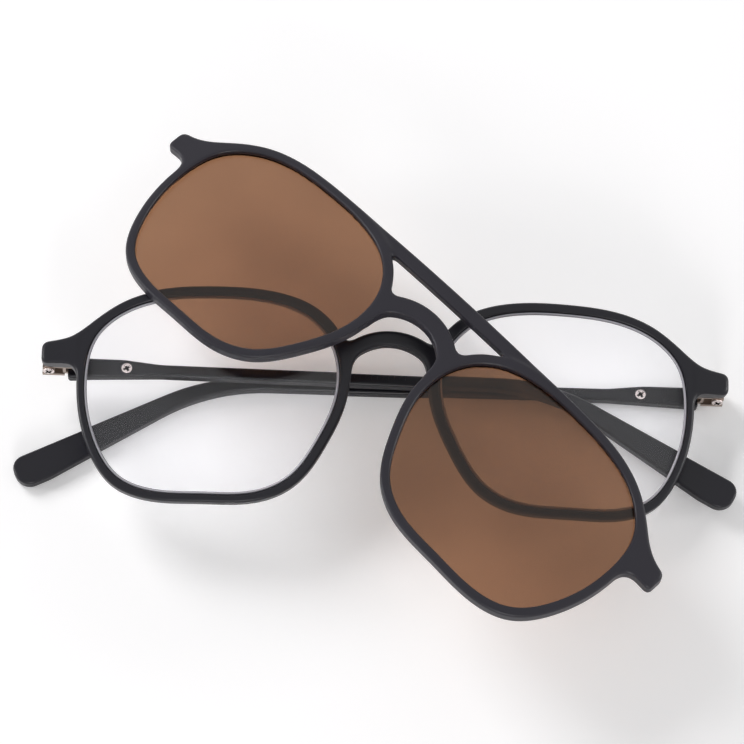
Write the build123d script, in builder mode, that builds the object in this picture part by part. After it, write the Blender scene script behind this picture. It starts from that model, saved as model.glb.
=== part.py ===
from build123d import *
import os
from math import cos, radians, sin, tan

# A pair of glasses lying folded with its magnetic sun clip laid across it.
# The front and the clip are drawn as worn, in millimetres: X runs to the wearer's left,
# Y up the face and Z out of the face. Each finished piece is then laid down at rest.

# Lens openings, shared by the front and the clip
aperture_width = 48.5
aperture_height = 38.8
aperture_gap = 19.1
aperture_centre_x = (aperture_gap + aperture_width) / 2
aperture_centre_y = -0.25
aperture_outer_x = aperture_centre_x + aperture_width / 2
aperture_top_y = aperture_centre_y + aperture_height / 2
aperture_shares = [
    (1.00, 0.19), (0.93, 0.57), (0.76, 0.79), (0.45, 0.95), (0.02, 1.00), (-0.46, 0.96),
    (-0.75, 0.82), (-0.94, 0.55), (-0.99, 0.06), (-0.84, -0.44), (-0.62, -0.82), (-0.40, -0.96),
    (0.04, -1.00), (0.44, -0.98), (0.69, -0.86), (0.89, -0.52),
]

# Front
front_bow_radius = 394.0
front_thickness = 3.0
front_rim_side = 1.5
front_rim_nose = 2.1
front_rim_top = 1.9
front_rim_bottom = 1.6
bridge_half_width = 10.0
bridge_top_side_y = 9.1
bridge_top_y = 13.6
bridge_bottom_half_width = 8.6
bridge_bottom_side_y = 5.1
bridge_bottom_y = 10.7

# End pieces, which carry the hinges and the magnets
lug_length = 8.35
lug_reach = aperture_outer_x + lug_length
lug_top_y = 9.5
lug_bottom_y = 5.6
lug_root_out = 0.25
lug_root_x = aperture_outer_x + lug_root_out
lug_root_y = 10.9
lug_crotch_out = 1.35
lug_crotch_x = aperture_outer_x + lug_crotch_out
lug_depth = 7.0
lug_root_round = 4.0
lug_crotch_round = 3.0
lug_corner_round = 0.8

# Lenses and the grooves that hold them
lens_thickness = 2.0
lens_set_back = 0.7
lens_flange = 0.6
lens_flange_thickness = 0.8
lens_clearance = 0.05

# Magnets
magnet_diameter = 3.2
magnet_thickness = 1.4
magnet_inset = 4.2
magnet_x = lug_reach - magnet_inset
magnet_y = 7.6
magnet_skin = 0.7
magnet_clearance = 0.03

# Hinges: each has a screw along Y in its own frame, tilted back by the pantoscopic angle
pantoscopic_angle = 9.0
hinge_inset = 1.2
hinge_x = lug_reach - hinge_inset
hinge_y = 5.1
hinge_z = -11.0
barrel_centre_y = 2.2
barrel_height = 3.5
barrel_radius = 1.15
knuckle_height = 1.2
knuckle_gap = 0.05
knuckle_sweep_radius = 1.75
leaf_thickness = 0.7
leaf_standoff = 1.0
leaf_reach = 6.0
leaf_outer_reach = 0.8
leaf_seat_gap = 0.02
stop_flange_x = 2.7
stop_flange_thickness = 0.6
stop_flange_drop = 1.0
pin_radius = 0.6
pin_clearance = 0.03
pin_head_radius = 1.1
pin_head_height = 0.5
pin_recess_width = 0.3
pin_recess_length = 1.4
pin_recess_depth = 0.25

# Temples, drawn for the hinge on the wearer's right: X along the arm, Y up, Z to the inner side
temple_inner_z = -1.3
temple_thickness = 2.4
temple_start = 3.6
temple_butt_top_y = 3.8
temple_butt_bottom_y = -0.3
temple_shoulder_x = 14.5
temple_neck_x = 21.5
temple_top_y = 3.05
temple_bottom_y = 0.6
temple_shoulder_round = 20.0
temple_bend_round = 38.0
temple_corner_round = 0.6
temple_edge_round = 0.55
hook_length = 42.0
hook_belly = 36.0
hook_depth = 6.3
hook_top_round = 2.6
hook_bottom_round = 3.0
hook_belly_round = 12.0
bend_x = {"right": 97.2, "left": 99.3}
bend_angle = {"right": 29.3, "left": 26.6}
rib_pitch = 1.1
rib_count = 40
rib_width = 0.4
rib_depth = 0.12
rib_start_x = 26.0

# Leaf and screw that join a temple to its hinge
temple_leaf_thickness = 0.8
temple_leaf_inner_z = -1.75
temple_leaf_front = 1.3
temple_leaf_length = 18.5
temple_leaf_height = 2.0
temple_leaf_clearance = 0.03
leaf_screw_x = 15.0
leaf_screw_y = 1.95
leaf_screw_head_radius = 1.15
leaf_screw_head_height = 0.4
leaf_screw_radius = 0.55
leaf_screw_length = 1.9
cross_width = 0.3
cross_length = 1.3
cross_depth = 0.25

# Sun clip
clip_aperture_share = 0.991
clip_bow_radius = 333.0
clip_thickness = 2.8
clip_rim_side = 1.7
clip_rim_nose = 2.0
clip_rim_top = 1.75
clip_rim_bottom = 1.7
clip_bar_rise = 1.65
clip_bar_height = 2.8
clip_bar_top_y = aperture_top_y + clip_bar_rise
clip_bar_bottom_y = clip_bar_top_y - clip_bar_height
clip_bar_end_inset = 9.8
clip_bar_half_length = aperture_centre_x - clip_bar_end_inset
clip_bridge_half_width = 10.0
clip_bridge_top_side_y = 10.1
clip_bridge_top_y = 14.5
clip_bridge_bottom_half_width = 8.6
clip_bridge_bottom_side_y = 5.1
clip_bridge_bottom_y = 10.9
clip_lug_inset = 0.9
clip_lug_reach = lug_reach - clip_lug_inset
clip_lug_bottom_y = 5.2
clip_lens_thickness = 1.1
clip_lens_set_back = 1.4

# Rest: the glasses lie on one folded temple, and the clip lies turned on the front
over_fold = 0.95
under_fold = 2.45
clip_turn = -44.19
clip_pitch = -10.18
clip_roll = -6.88
clip_x = -2.3
clip_y = 5.3
clip_rest_rise = 5.65

# Allowances for cutting right through, and for blanks that are trimmed to shape afterwards
overrun = 1.0
blank_front = 2.0
blank_depth = 18.0

sides = {"right": -1, "left": 1}
at_origin = (0, 0, 0)


def outline(side, share, side_grow, nose_grow, top_grow, bottom_grow):
    """Points of a lens opening on one side, grown by the rim's width in each direction."""
    points = []
    for x_share, y_share in aperture_shares:
        x_half = aperture_width * share / 2 + (side_grow if x_share > 0 else nose_grow)
        y_half = aperture_height * share / 2 + (top_grow if y_share > 0 else bottom_grow)
        x = aperture_centre_x + x_half * x_share
        y = aperture_centre_y + y_half * y_share
        points.append((side * x, y))
    return points


def opening(side, share=1.0, grow=0.0):
    """Points of a lens opening, grown evenly."""
    return outline(side, share, grow, grow, grow, grow)


def closed_curve(points):
    """A face inside one smooth closed curve."""
    with BuildSketch() as drawn:
        with BuildLine():
            Spline(*points, periodic=True)
        make_face()
    return drawn.sketch


def arch(half_width, top_side_y, top_y, bottom_half_width, bottom_side_y, bottom_y):
    """The nose bridge: one arc over another, with its ends inside the rims."""
    with BuildSketch() as drawn:
        with BuildLine():
            upper = ThreePointArc((-half_width, top_side_y), (0, top_y), (half_width, top_side_y))
            lower = ThreePointArc(
                (-bottom_half_width, bottom_side_y), (0, bottom_y), (bottom_half_width, bottom_side_y)
            )
            Line(upper @ 0, lower @ 0)
            Line(upper @ 1, lower @ 1)
        make_face()
    return drawn.sketch


def lug(side, reach, bottom_y):
    """The end piece beside a rim, seen from the front."""
    inside_x = aperture_outer_x - front_rim_side
    top_x = aperture_centre_x + aperture_width / 4
    points = [
        (side * top_x, aperture_top_y),
        (side * lug_root_x, lug_root_y),
        (side * reach, lug_top_y),
        (side * reach, bottom_y),
        (side * lug_crotch_x, bottom_y),
        (side * (lug_crotch_x - front_rim_side), aperture_centre_y),
        (side * inside_x, aperture_centre_y),
    ]
    rounds = [0, lug_root_round, lug_corner_round, lug_corner_round, lug_crotch_round, 0, 0]
    with BuildSketch() as drawn:
        with BuildLine():
            FilletPolyline(*points, radius=rounds, close=True)
        make_face()
    return drawn.sketch


def bowed_sheet(radius, near, far):
    """A sheet bent round a vertical axis, between two depths behind its front."""
    with BuildPart() as sheet:
        with BuildSketch(Plane.XZ):
            with Locations((0, -radius)):
                Circle(radius - near)
                Circle(radius - far, mode=Mode.SUBTRACT)
            with Locations((0, -2 * radius)):
                Rectangle(4 * radius, 3 * radius, mode=Mode.SUBTRACT)
        extrude(amount=aperture_height, both=True)
    return sheet.part


def bowed_blank(faces, radius, near, far):
    """Flat faces raised into a blank and trimmed to a bowed sheet."""
    with BuildPart() as blank:
        with BuildSketch(Plane.XY.offset(blank_front)):
            for face in faces:
                add(face)
        extrude(amount=-blank_depth)
        add(bowed_sheet(radius, near, far), mode=Mode.INTERSECT)
    return blank.part


def bowed_depth(radius, x):
    """How far a bowed front has dropped back at a distance from the middle."""
    return radius - (radius**2 - x**2) ** 0.5


def write(piece, name, *places):
    """Lay a finished piece down, name it and keep it for the export."""
    laid = piece
    for place in reversed(places):
        laid = laid.moved(place)
    laid.label = name
    finished.append(laid)


# Where things lie at rest
lay_down = Location(at_origin, (0, under_fold, 0)) * Location(at_origin, (pantoscopic_angle, 0, 0))
hinge_places = {}
for name, side in sides.items():
    corner = Location((side * hinge_x, hinge_y, hinge_z))
    hinge_places[name] = corner * Location(at_origin, (-pantoscopic_angle, 0, 0))
fold_places = {
    "right": Location(at_origin, (0, -over_fold, 0)),
    "left": Location(at_origin, (0, -under_fold, 0)),
}
clip_place = (
    Location((clip_x, clip_y, clip_thickness + clip_rest_rise))
    * Location(at_origin, (0, 0, clip_turn))
    * Location(at_origin, (0, clip_pitch, 0))
    * Location(at_origin, (clip_roll, 0, 0))
)
finished = []

barrel_bottom_y = barrel_centre_y - barrel_height / 2
leaf_back_z = leaf_standoff
leaf_front_z = leaf_standoff + leaf_thickness
knuckle_low_y = barrel_centre_y - knuckle_height / 2


# Front frame: two rims, the bridge and the end pieces in one moulding
front_faces = []
for side in sides.values():
    front_faces.append(
        closed_curve(outline(side, 1.0, front_rim_side, front_rim_nose, front_rim_top, front_rim_bottom))
    )
    front_faces.append(lug(side, lug_reach, lug_bottom_y))
front_faces.append(
    arch(
        bridge_half_width, bridge_top_side_y, bridge_top_y,
        bridge_bottom_half_width, bridge_bottom_side_y, bridge_bottom_y,
    )
)
lug_faces = []
for side in sides.values():
    with BuildSketch() as lug_back:
        add(lug(side, lug_reach, lug_bottom_y))
        back_width = lug_reach - lug_crotch_x
        with Locations((side * (lug_reach - back_width / 2), lug_top_y)):
            Rectangle(back_width, 2 * (lug_top_y - lug_bottom_y), mode=Mode.INTERSECT)
    lug_faces.append(lug_back.sketch)
front_sheet = bowed_blank(front_faces, front_bow_radius, 0, front_thickness)
lug_sheet = bowed_blank(lug_faces, front_bow_radius, 0, lug_depth)
groove_near = lens_set_back + (lens_thickness - lens_flange_thickness) / 2 - lens_clearance
groove_far = groove_near + lens_flange_thickness + 2 * lens_clearance

with BuildPart() as front_frame:
    add(front_sheet)
    add(lug_sheet)
    for side in sides.values():
        with BuildSketch(Plane.XY.offset(blank_front)):
            add(closed_curve(opening(side)))
        extrude(amount=-blank_depth, mode=Mode.SUBTRACT)
        groove_face = closed_curve(opening(side, 1.0, lens_flange + lens_clearance))
        add(bowed_blank([groove_face], front_bow_radius, groove_near, groove_far), mode=Mode.SUBTRACT)
    for name, side in sides.items():
        seat = hinge_places[name] * Location((0, 0, leaf_front_z + leaf_seat_gap - blank_depth / 2))
        with Locations(seat):
            Box(2 * leaf_reach + blank_front, 4 * barrel_height, blank_depth, mode=Mode.SUBTRACT)
        magnet_z = -bowed_depth(front_bow_radius, magnet_x) - magnet_skin
        with Locations(Location((side * magnet_x, magnet_y, magnet_z - blank_depth / 2))):
            Cylinder(magnet_diameter / 2 + magnet_clearance, blank_depth, mode=Mode.SUBTRACT)
write(front_frame.part, "front_frame", lay_down)


# Clear lenses, with a flange round the edge that sits in the rim's groove
for name, side in sides.items():
    body_face = closed_curve(opening(side, 1.0, -lens_clearance))
    flange_face = closed_curve(opening(side, 1.0, lens_flange))
    flange_near = groove_near + lens_clearance
    with BuildPart() as lens:
        add(bowed_blank([body_face], front_bow_radius, lens_set_back, lens_set_back + lens_thickness))
        add(
            bowed_blank(
                [flange_face], front_bow_radius, flange_near, flange_near + lens_flange_thickness
            )
        )
    write(lens.part, f"lens_{name}", lay_down)


# Magnets sunk into the end pieces from behind
for name, side in sides.items():
    magnet_z = -bowed_depth(front_bow_radius, magnet_x) - magnet_skin
    with BuildPart() as magnet:
        with Locations((side * magnet_x, magnet_y, magnet_z - magnet_thickness / 2)):
            Cylinder(magnet_diameter / 2, magnet_thickness)
    write(magnet.part, f"magnet_{name}", lay_down)


# Hinge leaves on the front: a plate with two knuckles and a stop flange
for name, side in sides.items():
    with BuildPart() as front_leaf:
        plate_length = leaf_reach + leaf_outer_reach
        plate_x = (leaf_reach - leaf_outer_reach) / 2
        with Locations((-side * plate_x, barrel_centre_y, (leaf_back_z + leaf_front_z) / 2)):
            Box(plate_length, barrel_height, leaf_thickness)
        flange_height = leaf_back_z + stop_flange_drop
        flange_x = stop_flange_x + stop_flange_thickness / 2
        with Locations((-side * flange_x, barrel_centre_y, leaf_back_z - flange_height / 2)):
            Box(stop_flange_thickness, barrel_height, flange_height)
        with BuildSketch(Plane.XZ.offset(-barrel_bottom_y)):
            Circle(barrel_radius)
            with Locations((0, barrel_radius / 2)):
                Rectangle(barrel_radius * 2, barrel_radius)
        extrude(amount=-barrel_height)
        with BuildSketch(Plane.XZ.offset(-knuckle_low_y + knuckle_gap)):
            Circle(knuckle_sweep_radius)
        extrude(amount=-(knuckle_height + 2 * knuckle_gap), mode=Mode.SUBTRACT)
        with BuildSketch(Plane.XZ.offset(-barrel_bottom_y + overrun)):
            Circle(pin_radius + pin_clearance)
        extrude(amount=-(barrel_height + 2 * overrun), mode=Mode.SUBTRACT)
    write(front_leaf.part, f"front_leaf_{name}", lay_down, hinge_places[name])


# Hinge screws: the pin through the knuckles, with its slotted head at the bottom
for name, side in sides.items():
    with BuildPart() as hinge_screw:
        with BuildSketch(Plane.XZ.offset(-barrel_bottom_y)):
            Circle(pin_radius)
        extrude(amount=-barrel_height)
        with BuildSketch(Plane.XZ.offset(-barrel_bottom_y)):
            Circle(pin_head_radius)
        extrude(amount=pin_head_height)
        head_y = barrel_bottom_y - pin_head_height + pin_recess_depth / 2
        with Locations((0, head_y, 0)):
            Box(pin_recess_length, pin_recess_depth, pin_recess_width, mode=Mode.SUBTRACT)
    write(hinge_screw.part, f"hinge_screw_{name}", lay_down, hinge_places[name])


# Temples: a slim arm, ribbed on its inner face, that widens into the ear hook
for name, side in sides.items():
    turn = radians(bend_angle[name])
    arm_half = (temple_top_y - temple_bottom_y) / 2
    arm_middle_y = (temple_top_y + temple_bottom_y) / 2
    miter = arm_half * tan(turn / 2)

    def hook_point(along, across):
        """A point of the ear hook, measured from the bend along and across its slope."""
        x = bend_x[name] + along * cos(turn) + across * sin(turn)
        y = arm_middle_y - along * sin(turn) + across * cos(turn)
        return (x, y)

    points = [
        (temple_start, temple_butt_top_y),
        (temple_shoulder_x, temple_butt_top_y),
        (temple_neck_x, temple_top_y),
        (bend_x[name] + miter, temple_top_y),
        hook_point(hook_length, arm_half),
        hook_point(hook_length, arm_half - hook_depth),
        hook_point(hook_belly, arm_half - hook_depth),
        (bend_x[name] - miter, temple_bottom_y),
        (temple_neck_x, temple_bottom_y),
        (temple_start, temple_butt_bottom_y),
    ]
    rounds = [
        temple_corner_round, temple_shoulder_round, temple_shoulder_round, temple_bend_round,
        hook_top_round, hook_bottom_round, hook_belly_round,
        temple_bend_round, temple_shoulder_round, temple_corner_round,
    ]
    with BuildPart() as temple:
        with BuildSketch(Plane.XY.offset(temple_inner_z)):
            with BuildLine():
                FilletPolyline(*points, radius=rounds, close=True)
            make_face()
        extrude(amount=-temple_thickness)
        long_edges = temple.faces().sort_by(Axis.Z)[-1].edges() + temple.faces().sort_by(Axis.Z)[0].edges()
        fillet(long_edges, temple_edge_round)
        rib_middle_x = rib_start_x + rib_pitch * (rib_count - 1) / 2
        with Locations((rib_middle_x, temple_top_y, temple_inner_z)):
            with GridLocations(rib_pitch, 0, rib_count, 1):
                Box(rib_width, 2 * arm_half, 2 * rib_depth, mode=Mode.SUBTRACT)
        slot_length = temple_leaf_length - temple_start + overrun
        slot_x = temple_start - overrun + slot_length / 2
        slot_z = temple_leaf_inner_z - temple_leaf_thickness / 2
        with Locations((slot_x + temple_leaf_clearance, leaf_screw_y, slot_z)):
            Box(
                slot_length,
                temple_leaf_height + 2 * temple_leaf_clearance,
                temple_leaf_thickness + 2 * temple_leaf_clearance,
                mode=Mode.SUBTRACT,
            )
        with BuildSketch(Plane.XY.offset(temple_inner_z)):
            with Locations((leaf_screw_x, leaf_screw_y)):
                Circle(leaf_screw_head_radius + temple_leaf_clearance)
        extrude(amount=-leaf_screw_head_height, mode=Mode.SUBTRACT)
        with BuildSketch(Plane.XY.offset(temple_inner_z)):
            with Locations((leaf_screw_x, leaf_screw_y)):
                Circle(leaf_screw_radius + temple_leaf_clearance)
        extrude(amount=-(leaf_screw_length + temple_leaf_clearance), mode=Mode.SUBTRACT)
    arm = temple.part if side < 0 else temple.part.mirror(Plane.YZ)
    write(arm, f"temple_{name}", lay_down, hinge_places[name], fold_places[name])


# Leaves in the temples: the middle knuckle and the plate that runs into the arm
for name, side in sides.items():
    with BuildPart() as temple_leaf:
        plate_z = temple_leaf_inner_z - temple_leaf_thickness / 2
        short_length = temple_start - stop_flange_thickness + temple_leaf_front
        with Locations((short_length / 2 - temple_leaf_front, barrel_centre_y, plate_z)):
            Box(short_length, barrel_height - knuckle_gap, temple_leaf_thickness)
        with Locations((temple_leaf_length / 2, leaf_screw_y, plate_z)):
            Box(temple_leaf_length, temple_leaf_height, temple_leaf_thickness)
        with BuildSketch(Plane.XZ.offset(-knuckle_low_y)):
            Circle(barrel_radius)
            with Locations((0, temple_leaf_inner_z / 2)):
                Rectangle(2 * leaf_outer_reach, -temple_leaf_inner_z)
        extrude(amount=-knuckle_height)
        with BuildSketch(Plane.XZ.offset(-knuckle_low_y + overrun)):
            Circle(pin_radius + pin_clearance)
        extrude(amount=-(knuckle_height + 2 * overrun), mode=Mode.SUBTRACT)
        with BuildSketch(Plane.XY.offset(temple_leaf_inner_z + overrun)):
            with Locations((leaf_screw_x, leaf_screw_y)):
                Circle(leaf_screw_radius + temple_leaf_clearance)
        extrude(amount=-(temple_leaf_thickness + 2 * overrun), mode=Mode.SUBTRACT)
    leaf = temple_leaf.part if side < 0 else temple_leaf.part.mirror(Plane.YZ)
    write(leaf, f"temple_leaf_{name}", lay_down, hinge_places[name], fold_places[name])


# Cross-headed screws that hold the leaves in the temples
for name, side in sides.items():
    with BuildPart() as leaf_screw:
        with BuildSketch(Plane.XY.offset(temple_inner_z)):
            with Locations((leaf_screw_x, leaf_screw_y)):
                Circle(leaf_screw_head_radius)
        extrude(amount=-(leaf_screw_head_height - temple_leaf_clearance))
        with BuildSketch(Plane.XY.offset(temple_inner_z)):
            with Locations((leaf_screw_x, leaf_screw_y)):
                Circle(leaf_screw_radius)
        extrude(amount=-leaf_screw_length)
        with BuildSketch(Plane.XY.offset(temple_inner_z)):
            with Locations((leaf_screw_x, leaf_screw_y)):
                Rectangle(cross_length, cross_width)
                Rectangle(cross_width, cross_length)
        extrude(amount=-cross_depth, mode=Mode.SUBTRACT)
    screw = leaf_screw.part if side < 0 else leaf_screw.part.mirror(Plane.YZ)
    write(screw, f"temple_screw_{name}", lay_down, hinge_places[name], fold_places[name])


# Clip frame: the front's outline again, with a straight bar over the bridge
clip_faces = []
for side in sides.values():
    clip_faces.append(
        closed_curve(
            outline(
                side, clip_aperture_share, clip_rim_side, clip_rim_nose, clip_rim_top, clip_rim_bottom
            )
        )
    )
    clip_faces.append(lug(side, clip_lug_reach, clip_lug_bottom_y))
clip_faces.append(
    arch(
        clip_bridge_half_width, clip_bridge_top_side_y, clip_bridge_top_y,
        clip_bridge_bottom_half_width, clip_bridge_bottom_side_y, clip_bridge_bottom_y,
    )
)
with BuildSketch() as bar:
    with Locations((0, (clip_bar_top_y + clip_bar_bottom_y) / 2)):
        Rectangle(2 * clip_bar_half_length, clip_bar_top_y - clip_bar_bottom_y)
clip_faces.append(bar.sketch)

with BuildPart() as clip_frame:
    add(bowed_blank(clip_faces, clip_bow_radius, 0, clip_thickness))
    for side in sides.values():
        with BuildSketch(Plane.XY.offset(blank_front)):
            add(closed_curve(opening(side, clip_aperture_share)))
        extrude(amount=-blank_depth, mode=Mode.SUBTRACT)
        groove_face = closed_curve(opening(side, clip_aperture_share, lens_flange + lens_clearance))
        lens_far = clip_lens_set_back + clip_lens_thickness
        add(
            bowed_blank(
                [groove_face], clip_bow_radius,
                clip_lens_set_back - lens_clearance, lens_far + lens_clearance,
            ),
            mode=Mode.SUBTRACT,
        )
        magnet_z = -bowed_depth(clip_bow_radius, magnet_x) - clip_thickness + magnet_thickness
        with Locations((side * magnet_x, magnet_y, magnet_z - blank_depth / 2)):
            Cylinder(magnet_diameter / 2 + magnet_clearance, blank_depth, mode=Mode.SUBTRACT)
write(clip_frame.part, "clip_frame", lay_down, clip_place)


# Tinted lenses of the clip
for name, side in sides.items():
    lens_face = closed_curve(opening(side, clip_aperture_share, lens_flange))
    lens_far = clip_lens_set_back + clip_lens_thickness
    with BuildPart() as clip_lens:
        add(bowed_blank([lens_face], clip_bow_radius, clip_lens_set_back, lens_far))
    write(clip_lens.part, f"clip_lens_{name}", lay_down, clip_place)


# Magnets in the back of the clip's end pieces
for name, side in sides.items():
    magnet_z = -bowed_depth(clip_bow_radius, magnet_x) - clip_thickness + magnet_thickness
    with BuildPart() as clip_magnet:
        with Locations((side * magnet_x, magnet_y, magnet_z - magnet_thickness / 2 - magnet_clearance)):
            Cylinder(magnet_diameter / 2, magnet_thickness)
    write(clip_magnet.part, f"clip_magnet_{name}", lay_down, clip_place)


# Set the whole thing on the surface, with the origin under its middle
boxes = [piece.bounding_box() for piece in finished]
middle_x = (min(box.min.X for box in boxes) + max(box.max.X for box in boxes)) / 2
middle_y = (min(box.min.Y for box in boxes) + max(box.max.Y for box in boxes)) / 2
centre = Location((-middle_x, -middle_y, -min(box.min.Z for box in boxes)))
os.makedirs("parts", exist_ok=True)
for piece in finished:
    label = piece.label
    placed = piece.moved(centre)
    placed.label = label
    export_step(placed, f"parts/{label}.step")
for name in sides:
    axis_point = (centre * lay_down * hinge_places[name]).position
    print(name, "hinge axis at", axis_point)
clip_frame_place = centre * lay_down * clip_place
print("clip at", clip_frame_place.position, "faces", Plane(clip_frame_place).z_dir)
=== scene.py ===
import math

import bmesh
import bpy
import numpy as np
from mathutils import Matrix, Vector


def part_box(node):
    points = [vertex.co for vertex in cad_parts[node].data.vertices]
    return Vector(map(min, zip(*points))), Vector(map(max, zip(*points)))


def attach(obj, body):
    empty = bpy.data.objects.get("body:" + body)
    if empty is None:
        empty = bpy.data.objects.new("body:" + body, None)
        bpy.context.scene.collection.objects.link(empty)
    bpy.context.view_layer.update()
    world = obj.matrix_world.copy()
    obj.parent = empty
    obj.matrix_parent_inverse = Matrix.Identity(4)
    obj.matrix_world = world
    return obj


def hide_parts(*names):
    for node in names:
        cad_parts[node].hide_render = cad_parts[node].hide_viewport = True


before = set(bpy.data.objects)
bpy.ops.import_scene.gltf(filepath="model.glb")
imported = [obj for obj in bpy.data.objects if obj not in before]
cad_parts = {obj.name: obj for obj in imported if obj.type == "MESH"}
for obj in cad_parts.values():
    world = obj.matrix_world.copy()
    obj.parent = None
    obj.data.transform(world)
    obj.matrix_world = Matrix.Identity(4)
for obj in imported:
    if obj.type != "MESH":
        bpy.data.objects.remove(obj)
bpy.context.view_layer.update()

# Lengths are in metres, and this is one millimetre
mm = 0.001

# The photograph's view, in the frame of the glasses lying on the surface
camera_place = (-15.18 * mm, -228.89 * mm, 526.13 * mm)
camera_turn_deg = (24.179, -1.999, 0.994)
camera_lens = 141.58
sensor_width = 36.0
camera_near = 0.01

# Finishes
nylon_grain = 0.3 * mm
nylon_grain_depth = 0.004 * mm
nylon_flow = 11.0 * mm
nylon_spread = 0.05
nylon_bump = 0.6
nylon_gloss = 0.32
brush_spacing = 0.12 * mm
metal_spread = 0.06
lens_drift = 22.0 * mm

# Studio
world_level = 0.33
key_power = 5.0
key_size = 0.4
key_place = (-0.57, 0.506, 0.515)
strip_power = 1.9
strip_size = 0.22
strip_places = {
    "left strip": (-0.8, 0.05, 0.24),
    "right strip": (0.8, 0.05, 0.24),
    "near strip": (0.0, -0.8, 0.3),
}
floor_glow = 0.17
floor_half = 2.5
floor_drop = 0.02 * mm

# The front and the clip, in millimetres: X to the wearer's left, Y up the face, Z out of it
opening_width = 48.5
opening_height = 38.8
opening_x = 33.8
opening_y = -0.25
opening_shares = (
    (1.00, 0.19), (0.93, 0.57), (0.76, 0.79), (0.45, 0.95), (0.02, 1.00), (-0.46, 0.96),
    (-0.75, 0.82), (-0.94, 0.55), (-0.99, 0.06), (-0.84, -0.44), (-0.62, -0.82), (-0.40, -0.96),
    (0.04, -1.00), (0.44, -0.98), (0.69, -0.86), (0.89, -0.52),
)
front_bow = 394.0
clip_bow = 333.0
front_reach = 66.4
clip_reach = 65.5
end_root_x = 58.3
end_root_y = 10.9
end_top_y = 9.5
end_crotch_x = 59.4
end_inner_x = 57.4
face_tilt = 9.0
magnet_x = 62.2
magnet_y = 7.6
pocket_radius = 1.63
front_wall = 0.7
front_magnet_depth = 1.4
clip_wall = 1.4
clip_magnet_depth = 2.13
groove_reach = 0.65
seat_half = 7.0
hinge_seat_height = 1.72
seat_tolerance = 0.05

# Blends between the forms of a moulding, and the grid that its skin is worked out on
end_corner = 1.3
root_fillet = 5.2
crotch_fillet = 3.5
bridge_fillet = 2.4
bar_fillet = 1.3
bar_retreat = 1.25
bar_fall = 0.14
bar_taper = 13.0
bar_least_share = 0.02
block_fillet = 0.5
grid_step = 0.22
grid_margin = 0.57
loop_count = 720
edge_count = 240
weld_distance = 0.0001 * mm
front_half_length = 67.9
front_half_height = 22.7

# Screws and the lens edge, in millimetres
screw_rings = 26
screw_spokes = 96
cross_half_length = 0.7
cross_half_width = 0.2
recess_depth = 0.25
recess_wall = 0.06
dome_share = 0.3
recess_share = 0.1
# A head's radius and height, and its shank's radius and length
temple_screw_size = (1.05, 0.1, 0.55, 1.85)
hinge_screw_size = (1.1, 0.5, 0.55, 3.4)
temple_cross_way = (0.86, 0.5, 0.0)
hinge_cross_way = (0.8, 0.0, 0.6)
# Inwards from the opening, and depth behind the face
bevel_profile = ((-0.05, 0.68), (0.14, 0.38), (0.52, 0.69), (0.2, 0.72))

# How the pieces lie, in degrees, and where the hinges and screws are, in millimetres
under_fold = 2.45
fold_turns = {"right": 0.95, "left": 2.45}
clip_turn = -44.19
clip_pitch = -10.18
clip_roll = -6.88
hinge_x = 65.2
hinge_y = 5.1
hinge_z = -11.0
arm_screw_x = 15.0
arm_screw_y = 1.95
arm_inner_z = -1.3
temple_head_sink = 0.12
barrel_bottom_y = 0.45


def linear(code):
    """Turn an sRGB hex colour into linear red, green and blue, with alpha 1."""
    shares = [int(code[start:start + 2], 16) / 255 for start in (1, 3, 5)]
    return [s / 12.92 if s <= 0.04045 else ((s + 0.055) / 1.055) ** 2.4 for s in shares] + [1.0]


def add_node(tree, kind, inputs=None, **settings):
    """Add one node with its settings; an input is a value or the socket that feeds it."""
    node = tree.nodes.new(kind)
    for name, value in settings.items():
        setattr(node, name, value)
    for name, value in (inputs or {}).items():
        if isinstance(value, bpy.types.NodeSocket):
            tree.links.new(value, node.inputs[name])
        else:
            node.inputs[name].default_value = value
    return node


def empty_material(name):
    """A new material without nodes, and its node tree."""
    material = bpy.data.materials.new(name)
    material.use_nodes = True
    material.node_tree.nodes.clear()
    return material, material.node_tree


def grained_plastic(name, dark, light, roughness):
    """Plastic with a fine grain and faint changes of tone.

    The nylon is injection-moulded: the mould's spark-eroded grain spreads the highlights, and the
    flow of the melt shifts the tone. The grain is drawn coarser than the real one. A lens edge is
    ground and then buffed, so it has a lower roughness; its pale grey colour is a painted highlight.
    """
    material, tree = empty_material(name)
    place = add_node(tree, "ShaderNodeTexCoord").outputs["Object"]
    grain = add_node(
        tree, "ShaderNodeTexNoise", {"Vector": place, "Scale": 1 / nylon_grain, "Detail": 3.0}
    ).outputs["Fac"]
    flow = add_node(
        tree, "ShaderNodeTexNoise", {"Vector": place, "Scale": 1 / nylon_flow, "Detail": 2.0}
    ).outputs["Fac"]
    tone = add_node(tree, "ShaderNodeMix", {0: flow, 6: linear(dark), 7: linear(light)}, data_type="RGBA")
    rough = add_node(
        tree, "ShaderNodeMapRange",
        {"Value": grain, "To Min": roughness - nylon_spread, "To Max": roughness + nylon_spread},
    )
    bump = add_node(
        tree, "ShaderNodeBump", {"Height": grain, "Distance": nylon_grain_depth, "Strength": nylon_bump}
    )
    shader = add_node(
        tree, "ShaderNodeBsdfPrincipled",
        {
            "Base Color": tone.outputs[2],
            "Roughness": rough.outputs["Result"],
            "Normal": bump.outputs["Normal"],
            "IOR": 1.5,
            "Specular IOR Level": nylon_gloss,
        },
    )
    add_node(tree, "ShaderNodeOutputMaterial", {"Surface": shader.outputs["BSDF"]})
    return material


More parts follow.
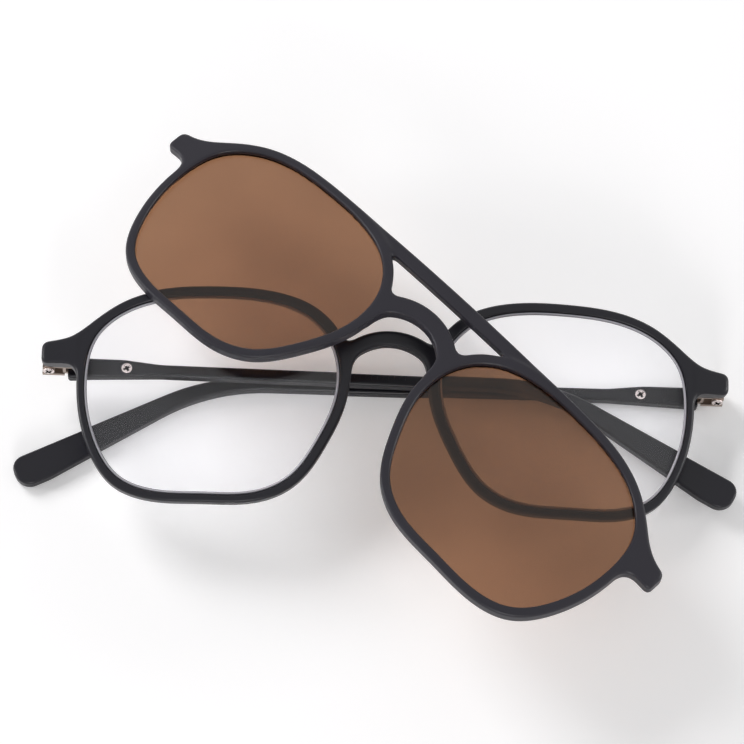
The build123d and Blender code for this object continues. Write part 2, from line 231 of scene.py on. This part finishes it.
def cast_lens(name, tint, deep_tint, ior):
    """Cast and polished lens plastic: clear right through and perfectly smooth.

    The tint is drawn with a slow drift, so that it doesn't read as one flat colour.
    """
    material, tree = empty_material(name)
    place = add_node(tree, "ShaderNodeTexCoord").outputs["Object"]
    drift = add_node(
        tree, "ShaderNodeTexNoise", {"Vector": place, "Scale": 1 / lens_drift, "Detail": 2.0}
    ).outputs["Fac"]
    dye = add_node(
        tree, "ShaderNodeMix", {0: drift, 6: linear(tint), 7: linear(deep_tint)}, data_type="RGBA"
    )
    shader = add_node(
        tree, "ShaderNodeBsdfPrincipled",
        {"Base Color": dye.outputs[2], "Roughness": 0.0, "IOR": ior, "Transmission Weight": 1.0},
    )
    add_node(tree, "ShaderNodeOutputMaterial", {"Surface": shader.outputs["BSDF"]})
    return material


def nickel_metal(name, colour, roughness):
    """Nickel-plated metal, stamped and tumbled: warm silver with fine streaks.

    A screw's recess is pressed in by a punch; its dull, near-black finish is painted shade in the hollow.
    """
    material, tree = empty_material(name)
    place = add_node(tree, "ShaderNodeTexCoord").outputs["Object"]
    streaks = add_node(
        tree, "ShaderNodeTexNoise", {"Vector": place, "Scale": 1 / brush_spacing, "Detail": 2.0}
    ).outputs["Fac"]
    rough = add_node(
        tree, "ShaderNodeMapRange",
        {"Value": streaks, "To Min": roughness - metal_spread, "To Max": roughness + metal_spread},
    )
    shader = add_node(
        tree, "ShaderNodeBsdfPrincipled",
        {"Base Color": linear(colour), "Metallic": 1.0, "Roughness": rough.outputs["Result"]},
    )
    add_node(tree, "ShaderNodeOutputMaterial", {"Surface": shader.outputs["BSDF"]})
    return material


def smooth_loop(points, count):
    """Points on a closed curve: each coordinate is a periodic cubic spline over the chords' length."""
    after = np.roll(points, -1, axis=0)
    chord = np.linalg.norm(after - points, axis=1)
    before = np.roll(chord, 1)
    slope = (after - points) / chord[:, None]
    spots = np.arange(len(points))
    system = np.zeros((len(points), len(points)))
    system[spots, spots] = 2 * (before + chord)
    system[spots, (spots + 1) % len(points)] = chord
    system[spots, spots - 1] = before
    bend = np.linalg.solve(system, 6 * (slope - np.roll(slope, 1, axis=0)))
    knots = np.concatenate(([0], np.cumsum(chord)))
    along = np.linspace(0, knots[-1], count, endpoint=False)
    spot = np.searchsorted(knots, along, side="right") - 1
    h = chord[spot][:, None]
    late = (along - knots[spot])[:, None] / h
    early = 1 - late
    next_bend = np.roll(bend, -1, axis=0)
    curve = (early**3 - early) * bend[spot] + (late**3 - late) * next_bend[spot]
    return early * points[spot] + late * after[spot] + h**2 / 6 * curve


def opening_loop(share, side_grow, nose_grow, top_grow, bottom_grow, count=loop_count):
    """A lens opening on the wearer's left, grown by a rim's width in each direction."""
    shares = np.array(opening_shares)
    x_half = opening_width * share / 2 + np.where(shares[:, 0] > 0, side_grow, nose_grow)
    y_half = opening_height * share / 2 + np.where(shares[:, 1] > 0, top_grow, bottom_grow)
    points = np.stack((opening_x + x_half * shares[:, 0], opening_y + y_half * shares[:, 1]), 1)
    return smooth_loop(points, count)


def from_loop(loop, x, y):
    """Distance outside a loop: the radius less the loop's, times the cosine of the loop's slant there."""
    turn = np.arctan2(loop[:, 1] - opening_y, loop[:, 0] - opening_x)
    reach = np.hypot(loop[:, 0] - opening_x, loop[:, 1] - opening_y)
    order = np.argsort(turn)
    turn, reach = turn[order], reach[order]
    slant = np.gradient(reach, turn)
    straight = reach / np.hypot(reach, slant)
    here = np.arctan2(y - opening_y, x - opening_x)
    out = np.hypot(x - opening_x, y - opening_y)
    full = 2 * np.pi
    return (out - np.interp(here, turn, reach, period=full)) * np.interp(here, turn, straight, period=full)


def joined(a, b, blend):
    """Two distances joined like a fillet: the smaller, less a parabola where they are nearly equal."""
    near = np.maximum(blend - np.abs(a - b), 0) / blend
    return np.minimum(a, b) - near**2 * blend / 4


def arc_distance(x, y, half_width, side_y, top_y):
    """Distance outside the circle through an arc's two ends and its top."""
    rise = top_y - side_y
    radius = (half_width**2 + rise**2) / (2 * rise)
    return np.hypot(x, y - top_y + radius) - radius


def raised(flat, depth, near, far, edge):
    """A flat shape raised between two depths, with its edges rounded off by a quarter circle."""
    a = flat + edge
    b = np.maximum(near - depth, depth - far) + edge
    return np.minimum(np.maximum(a, b), 0) + np.hypot(np.maximum(a, 0), np.maximum(b, 0)) - edge


def skin(field, low, step):
    """The surface on which a field is zero.

    Each grid cell that it crosses has one point, at the mean of the crossings on the cell's edges,
    and each crossed edge has one quad through the four cells round it.
    """
    cells = np.array(field.shape) - 1
    total = np.zeros((*cells, 3), np.float32)
    count = np.zeros(cells, np.float32)
    crossings = []
    for axis in range(3):
        a = np.moveaxis(field, axis, 0)[:-1]
        b = np.moveaxis(field, axis, 0)[1:]
        crossed = (a < 0) != (b < 0)
        share = np.where(crossed, a / np.where(crossed, a - b, 1), 0)
        crossings.append((crossed, a < 0))
        others = [other for other in range(3) if other != axis]
        for du in (0, 1):
            for dv in (0, 1):
                part = (slice(None), slice(du, du + cells[others[0]]), slice(dv, dv + cells[others[1]]))
                hit = np.moveaxis(crossed[part], 0, axis)
                count += hit
                total[..., axis] += np.moveaxis(share[part], 0, axis)
                total[..., others[0]] += du * hit
                total[..., others[1]] += dv * hit
    kept = count > 0
    number = np.full(cells, -1)
    number[kept] = np.arange(kept.sum())
    spots = np.argwhere(kept) + total[kept] / count[kept][:, None]
    quads = []
    for axis, (crossed, rising) in enumerate(crossings):
        others = [other for other in range(3) if other != axis]
        inner = (slice(None), slice(1, -1), slice(1, -1))
        where = np.argwhere(crossed[inner])
        up = rising[inner][crossed[inner]] ^ (axis == 1)
        corners = []
        for du, dv in ((0, 0), (1, 0), (1, 1), (0, 1)):
            cell = np.empty_like(where)
            cell[:, axis] = where[:, 0]
            cell[:, others[0]] = where[:, 1] + du
            cell[:, others[1]] = where[:, 2] + dv
            corners.append(number[tuple(cell.T)])
        quad = np.stack(corners, 1)
        quads.append(np.where(up[:, None], quad, quad[:, ::-1]))
    return np.array(low) + spots * step, np.concatenate(quads)


def turn_about(axis, degrees):
    """The matrix of a turn about one axis."""
    angle = math.radians(degrees)
    first, second = [(1, 2), (2, 0), (0, 1)]["xyz".index(axis)]
    matrix = np.eye(3)
    matrix[first, first] = matrix[second, second] = math.cos(angle)
    matrix[first, second], matrix[second, first] = -math.sin(angle), math.sin(angle)
    return matrix


def seat_on(turn, own_left, node_base):
    """The shift that seats a moulding: its left magnet's own place is put on the solid one's.

    The right magnet, which is its mirror image, has to land on the solid one as well.
    """
    middles = {
        side: np.mean(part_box(f"{node_base}_{side}"), axis=0) / mm for side in ("left", "right")
    }
    shift = middles["left"] - turn @ own_left
    miss = np.abs(turn @ (own_left * (-1, 1, 1)) + shift - middles["right"]).max()
    if miss > seat_tolerance:
        raise ValueError(f"{node_base}: the right magnet is {miss:.3f} mm off")
    return shift


def bow_drop(radius, x):
    """How far a bowed face has dropped back at a distance from the middle."""
    return radius - np.sqrt(radius**2 - x**2)


def to_mesh(name, points, quads):
    """A mesh from arrays of points in millimetres and of quads, facing outwards."""
    a, b, c, d = (points[quads[:, corner]] for corner in range(4))
    if (np.cross(c - a, d - b) * (a + b + c + d)).sum() < 0:
        quads = quads[:, ::-1]
    mesh = bpy.data.meshes.new(name)
    mesh.from_pydata((points * mm).tolist(), [], quads.tolist())
    mesh.shade_smooth()
    piece = bpy.data.objects.new(name, mesh)
    bpy.context.scene.collection.objects.link(piece)
    return piece


def moulding(node, body, turn, spec):
    """A rimmed front as one skin over a field of distances.

    Flat distances to the rims, end pieces, bridge and bar are joined with fillets, raised to the
    moulding's thickness with rounded edges, and bent back round the bow.
    """
    bow, thick, step = spec["bow"], spec["thickness"], grid_step
    low = np.array((-front_half_length, -front_half_height, -grid_margin))
    size = (2 * front_half_length, 2 * front_half_height, spec["depth"] + 2 * grid_margin)
    counts = [int(length / step) + 2 for length in size]
    x, y, depth = (low[i] + step * np.arange(counts[i]) for i in range(3))
    x, y = np.abs(x)[:, None], y[None, :]
    share = spec["share"]
    rim = from_loop(opening_loop(share, *spec["rim"]), x, y)
    hole = from_loop(opening_loop(share, 0, 0, 0, 0), x, y)

    slope = (end_root_y - end_top_y) / (spec["reach"] - end_root_x)
    top = (y - end_top_y - slope * (spec["reach"] - x)) / math.hypot(1, slope)
    outer = -joined(-top, spec["reach"] - x, end_corner)
    end = -joined(-outer, y - spec["end_bottom"], end_corner)
    end_front = np.maximum(end, end_inner_x - x)
    end_middle_y = (end_top_y + spec["end_bottom"]) / 2
    flat = joined(rim, end_front, np.where(y > end_middle_y, root_fillet, crotch_fillet))
    upper, lower = (arc_distance(x, y, *arc) for arc in spec["bridge"])
    bridge = np.maximum(np.maximum(upper, -lower), x - spec["bridge"][0][0])
    bridge = np.maximum(bridge, spec["bridge"][1][1] - y)
    flat = joined(flat, bridge, bridge_fillet)
    flat = np.maximum(flat, -hole)

    wide = np.broadcast_to(x, flat.shape)[:, :, None]
    flat, hole = flat[:, :, None], hole[:, :, None]
    tall = np.broadcast_to(y, wide.shape[:2])[:, :, None]
    behind = depth[None, None, :]
    field = raised(flat, behind, 0, thick, spec["edge"])
    if spec["depth"] > thick:
        block = np.maximum(end, end_crotch_x - x)[:, :, None]
        field = joined(field, raised(block, behind, 0, spec["depth"], spec["edge"]), block_fillet)
    if spec["bar"]:
        bar_half, bar_low, bar_high, bar_step = spec["bar"]
        bar_top = bar_high - bar_fall * (x / bar_half) ** 2
        bar = np.maximum(np.maximum(x - bar_half, bar_low - y), y - bar_top)
        bar = np.maximum(bar, bar_retreat - hole[:, :, 0])[:, :, None]
        # The fillet dies out towards the bar's end, where it would stop in a nub on the rim
        fillet = bar_fillet * np.clip((bar_half - x[..., None]) / bar_taper, bar_least_share, 1)
        field = joined(field, raised(bar, behind, bar_step, thick, spec["edge"]), fillet)
    groove_near, groove_far = spec["groove"]
    groove = np.maximum(hole - groove_reach, np.maximum(groove_near - behind, behind - groove_far))
    field = np.maximum(field, -groove)

    high = np.sqrt((bow - behind) ** 2 - wide**2) - bow
    round_pocket = np.hypot(wide - magnet_x, tall - magnet_y) - pocket_radius
    field = np.maximum(field, -np.maximum(round_pocket, high - spec["pocket_top"]))
    if spec["seat"]:
        seat_x, seat_y, seat_z, seat_height = spec["seat"]
        lean = math.radians(face_tilt)
        up = math.sin(lean) * (tall - seat_y) + math.cos(lean) * (high - seat_z)
        field = np.maximum(field, -np.maximum(up - seat_height, seat_x - seat_half - wide))

    spots, quads = skin(field.astype(np.float32), low, step)
    spots = np.stack((
        spots[:, 0], spots[:, 1], np.sqrt((bow - spots[:, 2]) ** 2 - spots[:, 0] ** 2) - bow
    ), 1)
    own_left = np.array((magnet_x, magnet_y, spec["magnet_middle"]))
    shift = seat_on(turn, own_left, spec["magnet"])
    piece = to_mesh(node + "_moulded", spots @ turn.T + shift, quads)
    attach(piece, body)
    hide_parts(node)
    return piece, shift


def weld(piece):
    """Merge the points that lie together, and turn the faces outwards."""
    work = bmesh.new()
    work.from_mesh(piece.data)
    bmesh.ops.remove_doubles(work, verts=work.verts, dist=weld_distance)
    bmesh.ops.recalc_face_normals(work, faces=work.faces)
    work.to_mesh(piece.data)
    work.free()


def ring_grid(rings, around):
    """Quads between rings of points, closed all round."""
    ring, spot = np.meshgrid(np.arange(rings - 1), np.arange(around), indexing="ij")
    a, b = ring * around + spot, ring * around + (spot + 1) % around
    return np.stack((a, b, b + around, a + around), -1).reshape(-1, 4)


def cross_screw(name, node, body, turn, shift, middle, out, across, size):
    """A screw with a cross recess, as rings about its axis.

    A ring's height is a dome that falls with the fourth power of the radius, less the recess's
    depth times a steep step in the distance to the nearer arm of the cross.
    """
    radius, height, shank, shank_length = size
    rings = np.concatenate((np.linspace(0, 1, screw_rings) * radius, [radius, shank, shank, 0]))[:, None]
    angle = np.linspace(0, 2 * np.pi, screw_spokes, endpoint=False)[None, :]
    u, v = rings * np.cos(angle), rings * np.sin(angle)
    long, wide = cross_half_length, cross_half_width
    to_cross = np.minimum(
        np.maximum(np.abs(u) - long, np.abs(v) - wide), np.maximum(np.abs(v) - long, np.abs(u) - wide)
    )
    sunk = np.clip(0.5 - to_cross / recess_wall, 0, 1)
    high = height * (1 - dome_share * (rings / radius) ** 4) - recess_depth * sunk
    high[screw_rings:] = np.array((0, 0, -shank_length, -shank_length))[:, None]
    third = np.cross(out, across)
    own = u[..., None] * across + v[..., None] * third + high[..., None] * out + middle
    points = own.reshape(-1, 3) @ turn.T + shift
    quads = ring_grid(len(rings), angle.size)
    piece = to_mesh(name, points, quads)
    # Faces deep in the cross take the second finish, which is painted shade
    deep = sunk.reshape(-1)[quads].mean(axis=1) > recess_share
    deep[(screw_rings - 1) * angle.size:] = False
    piece.data.polygons.foreach_set("material_index", deep.astype(np.int32))
    weld(piece)
    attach(piece, body)
    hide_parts(node)
    piece.data.materials.append(screw_nickel)
    piece.data.materials.append(recess_shade)


def lens_edge(side, turn, shift):
    """The polished bevel round a clear lens: a small wedge carried round the opening's loop. Its pale grey
    finish is a painted highlight.
    """
    loop = opening_loop(1.0, 0, 0, 0, 0, edge_count)
    along = np.roll(loop, -1, axis=0) - np.roll(loop, 1, axis=0)
    inward = np.stack((-along[:, 1], along[:, 0]), 1)
    inward /= np.linalg.norm(inward, axis=1)[:, None]
    inward *= np.sign(((np.array((opening_x, opening_y)) - loop) * inward).sum(axis=1))[:, None]
    rings = []
    for step_in, depth in bevel_profile:
        spot = loop + inward * step_in
        high = np.sqrt((front_bow - depth) ** 2 - spot[:, 0] ** 2) - front_bow
        rings.append(np.column_stack((spot[:, 0] * (1 if side == "left" else -1), spot[:, 1], high)))
    rings.append(rings[0])
    points = np.concatenate(rings) @ turn.T + shift
    piece = to_mesh(f"lens_edge_{side}", points, ring_grid(len(rings), len(loop)))
    weld(piece)
    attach(piece, "front")
    finish_with(piece, edge_highlight_paint)


def finish_with(obj, material):
    """Give a piece its one finish."""
    obj.data.materials.clear()
    obj.data.materials.append(material)


def seen_or_mirrored(tree):
    """1 for rays from the camera, or by way of a mirror or lens, and 0 for those that bring light."""
    path = add_node(tree, "ShaderNodeLightPath").outputs
    mirrored = add_node(
        tree, "ShaderNodeMath",
        {0: path["Is Glossy Ray"], 1: path["Is Transmission Ray"]}, operation="MAXIMUM",
    )
    return add_node(
        tree, "ShaderNodeMath",
        {0: path["Is Camera Ray"], 1: mirrored.outputs[0]}, operation="MAXIMUM",
    ).outputs[0]


def studio_world():
    """Even light from all round, which shows as white where it is seen or mirrored."""
    world = bpy.data.worlds.new("studio")
    bpy.context.scene.world = world
    world.use_nodes = True
    tree = world.node_tree
    tree.nodes.clear()
    seen = seen_or_mirrored(tree)
    strength = add_node(
        tree, "ShaderNodeMapRange", {"Value": seen, "To Min": world_level, "To Max": 1.0}
    )
    sky = add_node(
        tree, "ShaderNodeBackground", {"Color": linear("#ffffff"), "Strength": strength.outputs["Result"]}
    )
    add_node(tree, "ShaderNodeOutputWorld", {"Surface": sky.outputs["Background"]})


def white_floor():
    """The pale surface under the glasses, which keeps their shadow."""
    mesh = bpy.data.meshes.new("floor")
    corners = [
        (x * floor_half, y * floor_half, -floor_drop) for x, y in ((-1, -1), (1, -1), (1, 1), (-1, 1))
    ]
    mesh.from_pydata(corners, [], [(0, 1, 2, 3)])
    floor = bpy.data.objects.new("floor", mesh)
    bpy.context.scene.collection.objects.link(floor)
    material, tree = empty_material("white card")
    shader = add_node(
        tree, "ShaderNodeBsdfPrincipled",
        {"Base Color": linear("#fbfafb"), "Roughness": 0.9, "Specular IOR Level": 0.0},
    )
    seen = seen_or_mirrored(tree)
    strength = add_node(tree, "ShaderNodeMath", {0: seen, 1: floor_glow}, operation="MULTIPLY")
    glow = add_node(
        tree, "ShaderNodeEmission", {"Color": linear("#ffffff"), "Strength": strength.outputs[0]}
    )
    both = add_node(tree, "ShaderNodeAddShader", {0: shader.outputs["BSDF"], 1: glow.outputs["Emission"]})
    add_node(tree, "ShaderNodeOutputMaterial", {"Surface": both.outputs["Shader"]})
    mesh.materials.append(material)


def soft_lamp(name, place, size, power, mirrored):
    """A square soft box aimed at the glasses."""
    data = bpy.data.lights.new(name, "AREA")
    data.size = size
    data.energy = power
    lamp = bpy.data.objects.new(name, data)
    bpy.context.scene.collection.objects.link(lamp)
    lamp.location = place
    lamp.visible_glossy = mirrored
    aim = -lamp.location
    lamp.rotation_euler = aim.to_track_quat("-Z", "Y").to_euler()


def photograph_camera():
    """The camera where the photograph was taken from."""
    data = bpy.data.cameras.new("camera")
    data.lens = camera_lens
    data.sensor_width = sensor_width
    data.clip_start = camera_near
    camera = bpy.data.objects.new("camera", data)
    bpy.context.scene.collection.objects.link(camera)
    camera.location = camera_place
    camera.rotation_euler = [math.radians(turn) for turn in camera_turn_deg]
    bpy.context.scene.camera = camera


photograph_camera()
studio_world()
white_floor()
soft_lamp("key", key_place, key_size, key_power, False)
for strip_name, strip_place in strip_places.items():
    soft_lamp(strip_name, strip_place, strip_size, strip_power, True)
bpy.context.scene.view_settings.view_transform = "Standard"

frame_nylon = grained_plastic("black moulded nylon", "#0c0b13", "#111019", 0.36)
clip_nylon = grained_plastic("charcoal moulded nylon", "#1c1a22", "#25232b", 0.4)
clear_plastic = cast_lens("coated clear lens plastic", "#fefeff", "#fafafc", 1.31)
brown_plastic = cast_lens("brown tinted lens plastic", "#9b7153", "#876045", 1.38)
nickel = nickel_metal("nickel-plated spring steel", "#9c8e84", 0.32)
screw_nickel = nickel_metal("polished nickel screw", "#e4d9d6", 0.22)
# Painted shade: each screw's cross recess is coloured near-black for the shade inside it
recess_shade = nickel_metal("screw recess painted as shade", "#15100f", 0.7)
magnet_nickel = nickel_metal("nickel-plated magnet", "#b9b8b6", 0.25)
# Painted highlight: the lens edge is pale grey in place of the bright line of light along it
edge_highlight_paint = grained_plastic("lens edge painted as a highlight", "#a9a7af", "#bdbbc2", 0.2)

node_finishes = {
    "temple": frame_nylon,
    "lens": clear_plastic,
    "clip_lens": brown_plastic,
    "front_leaf": nickel,
    "temple_leaf": nickel,
    "hinge_screw": screw_nickel,
    "temple_screw": screw_nickel,
    "magnet": magnet_nickel,
    "clip_magnet": magnet_nickel,
}
for base, material in node_finishes.items():
    for side in ("right", "left"):
        finish_with(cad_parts[f"{base}_{side}"], material)
finish_with(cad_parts["front_frame"], frame_nylon)
finish_with(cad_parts["clip_frame"], clip_nylon)

# What a moulding takes, in millimetres. A rim has its widths at the side, nose, top and bottom, a
# bridge two arcs with half width, side height and top height, a bar its half length, bottom, top
# and set-back, a groove its near and far depth, and a hinge seat its place and height.
front_spec = {
    "bow": front_bow, "thickness": 3.0, "depth": 7.0, "share": 1.0, "rim": (1.5, 2.1, 1.9, 1.6),
    "reach": front_reach, "end_bottom": 5.6, "edge": 0.6, "bar": None, "groove": (1.25, 2.15),
    "bridge": ((10.0, 9.1, 13.6), (8.6, 5.1, 10.7)), "magnet": "magnet",
    "pocket_top": -bow_drop(front_bow, magnet_x) - front_wall,
    "magnet_middle": -bow_drop(front_bow, magnet_x) - front_magnet_depth,
    "seat": (hinge_x, hinge_y, hinge_z, hinge_seat_height),
}
clip_spec = {
    "bow": clip_bow, "thickness": 2.8, "depth": 2.8, "share": 0.991, "rim": (1.7, 2.0, 1.75, 1.7),
    "reach": clip_reach, "end_bottom": 5.2, "edge": 0.55, "bar": (33.0, 18.0, 20.8, 0.3),
    "groove": (1.35, 2.55), "bridge": ((10.0, 10.1, 14.5), (8.6, 5.1, 10.9)),
    "magnet": "clip_magnet", "seat": None,
    "pocket_top": -bow_drop(clip_bow, magnet_x) - clip_wall,
    "magnet_middle": -bow_drop(clip_bow, magnet_x) - clip_magnet_depth,
}

lay_down = turn_about("y", under_fold) @ turn_about("x", face_tilt)
clip_turned = turn_about("z", clip_turn) @ turn_about("y", clip_pitch) @ turn_about("x", clip_roll)
clip_lie = lay_down @ clip_turned
front_piece, front_shift = moulding("front_frame", "front", lay_down, front_spec)
finish_with(front_piece, frame_nylon)
clip_piece, _ = moulding("clip_frame", "clip", clip_lie, clip_spec)
finish_with(clip_piece, clip_nylon)

for side, mirror in (("right", 1), ("left", -1)):
    lens_edge(side, lay_down, front_shift)
    hinge_turn = lay_down @ turn_about("x", -face_tilt)
    hinge_shift = lay_down @ np.array((-mirror * hinge_x, hinge_y, hinge_z)) + front_shift
    arm_turn = hinge_turn @ turn_about("y", -fold_turns[side])
    cross_screw(
        f"temple_screw_{side}_crossed", f"temple_screw_{side}", f"temple_{side}", arm_turn, hinge_shift,
        np.array((mirror * arm_screw_x, arm_screw_y, arm_inner_z - temple_head_sink)),
        np.array((0.0, 0.0, 1.0)), np.array(temple_cross_way), temple_screw_size,
    )
    cross_screw(
        f"hinge_screw_{side}_crossed", f"hinge_screw_{side}", "front", hinge_turn, hinge_shift,
        np.array((0.0, barrel_bottom_y, 0.0)), np.array((0.0, -1.0, 0.0)),
        np.array(hinge_cross_way), hinge_screw_size,
    )
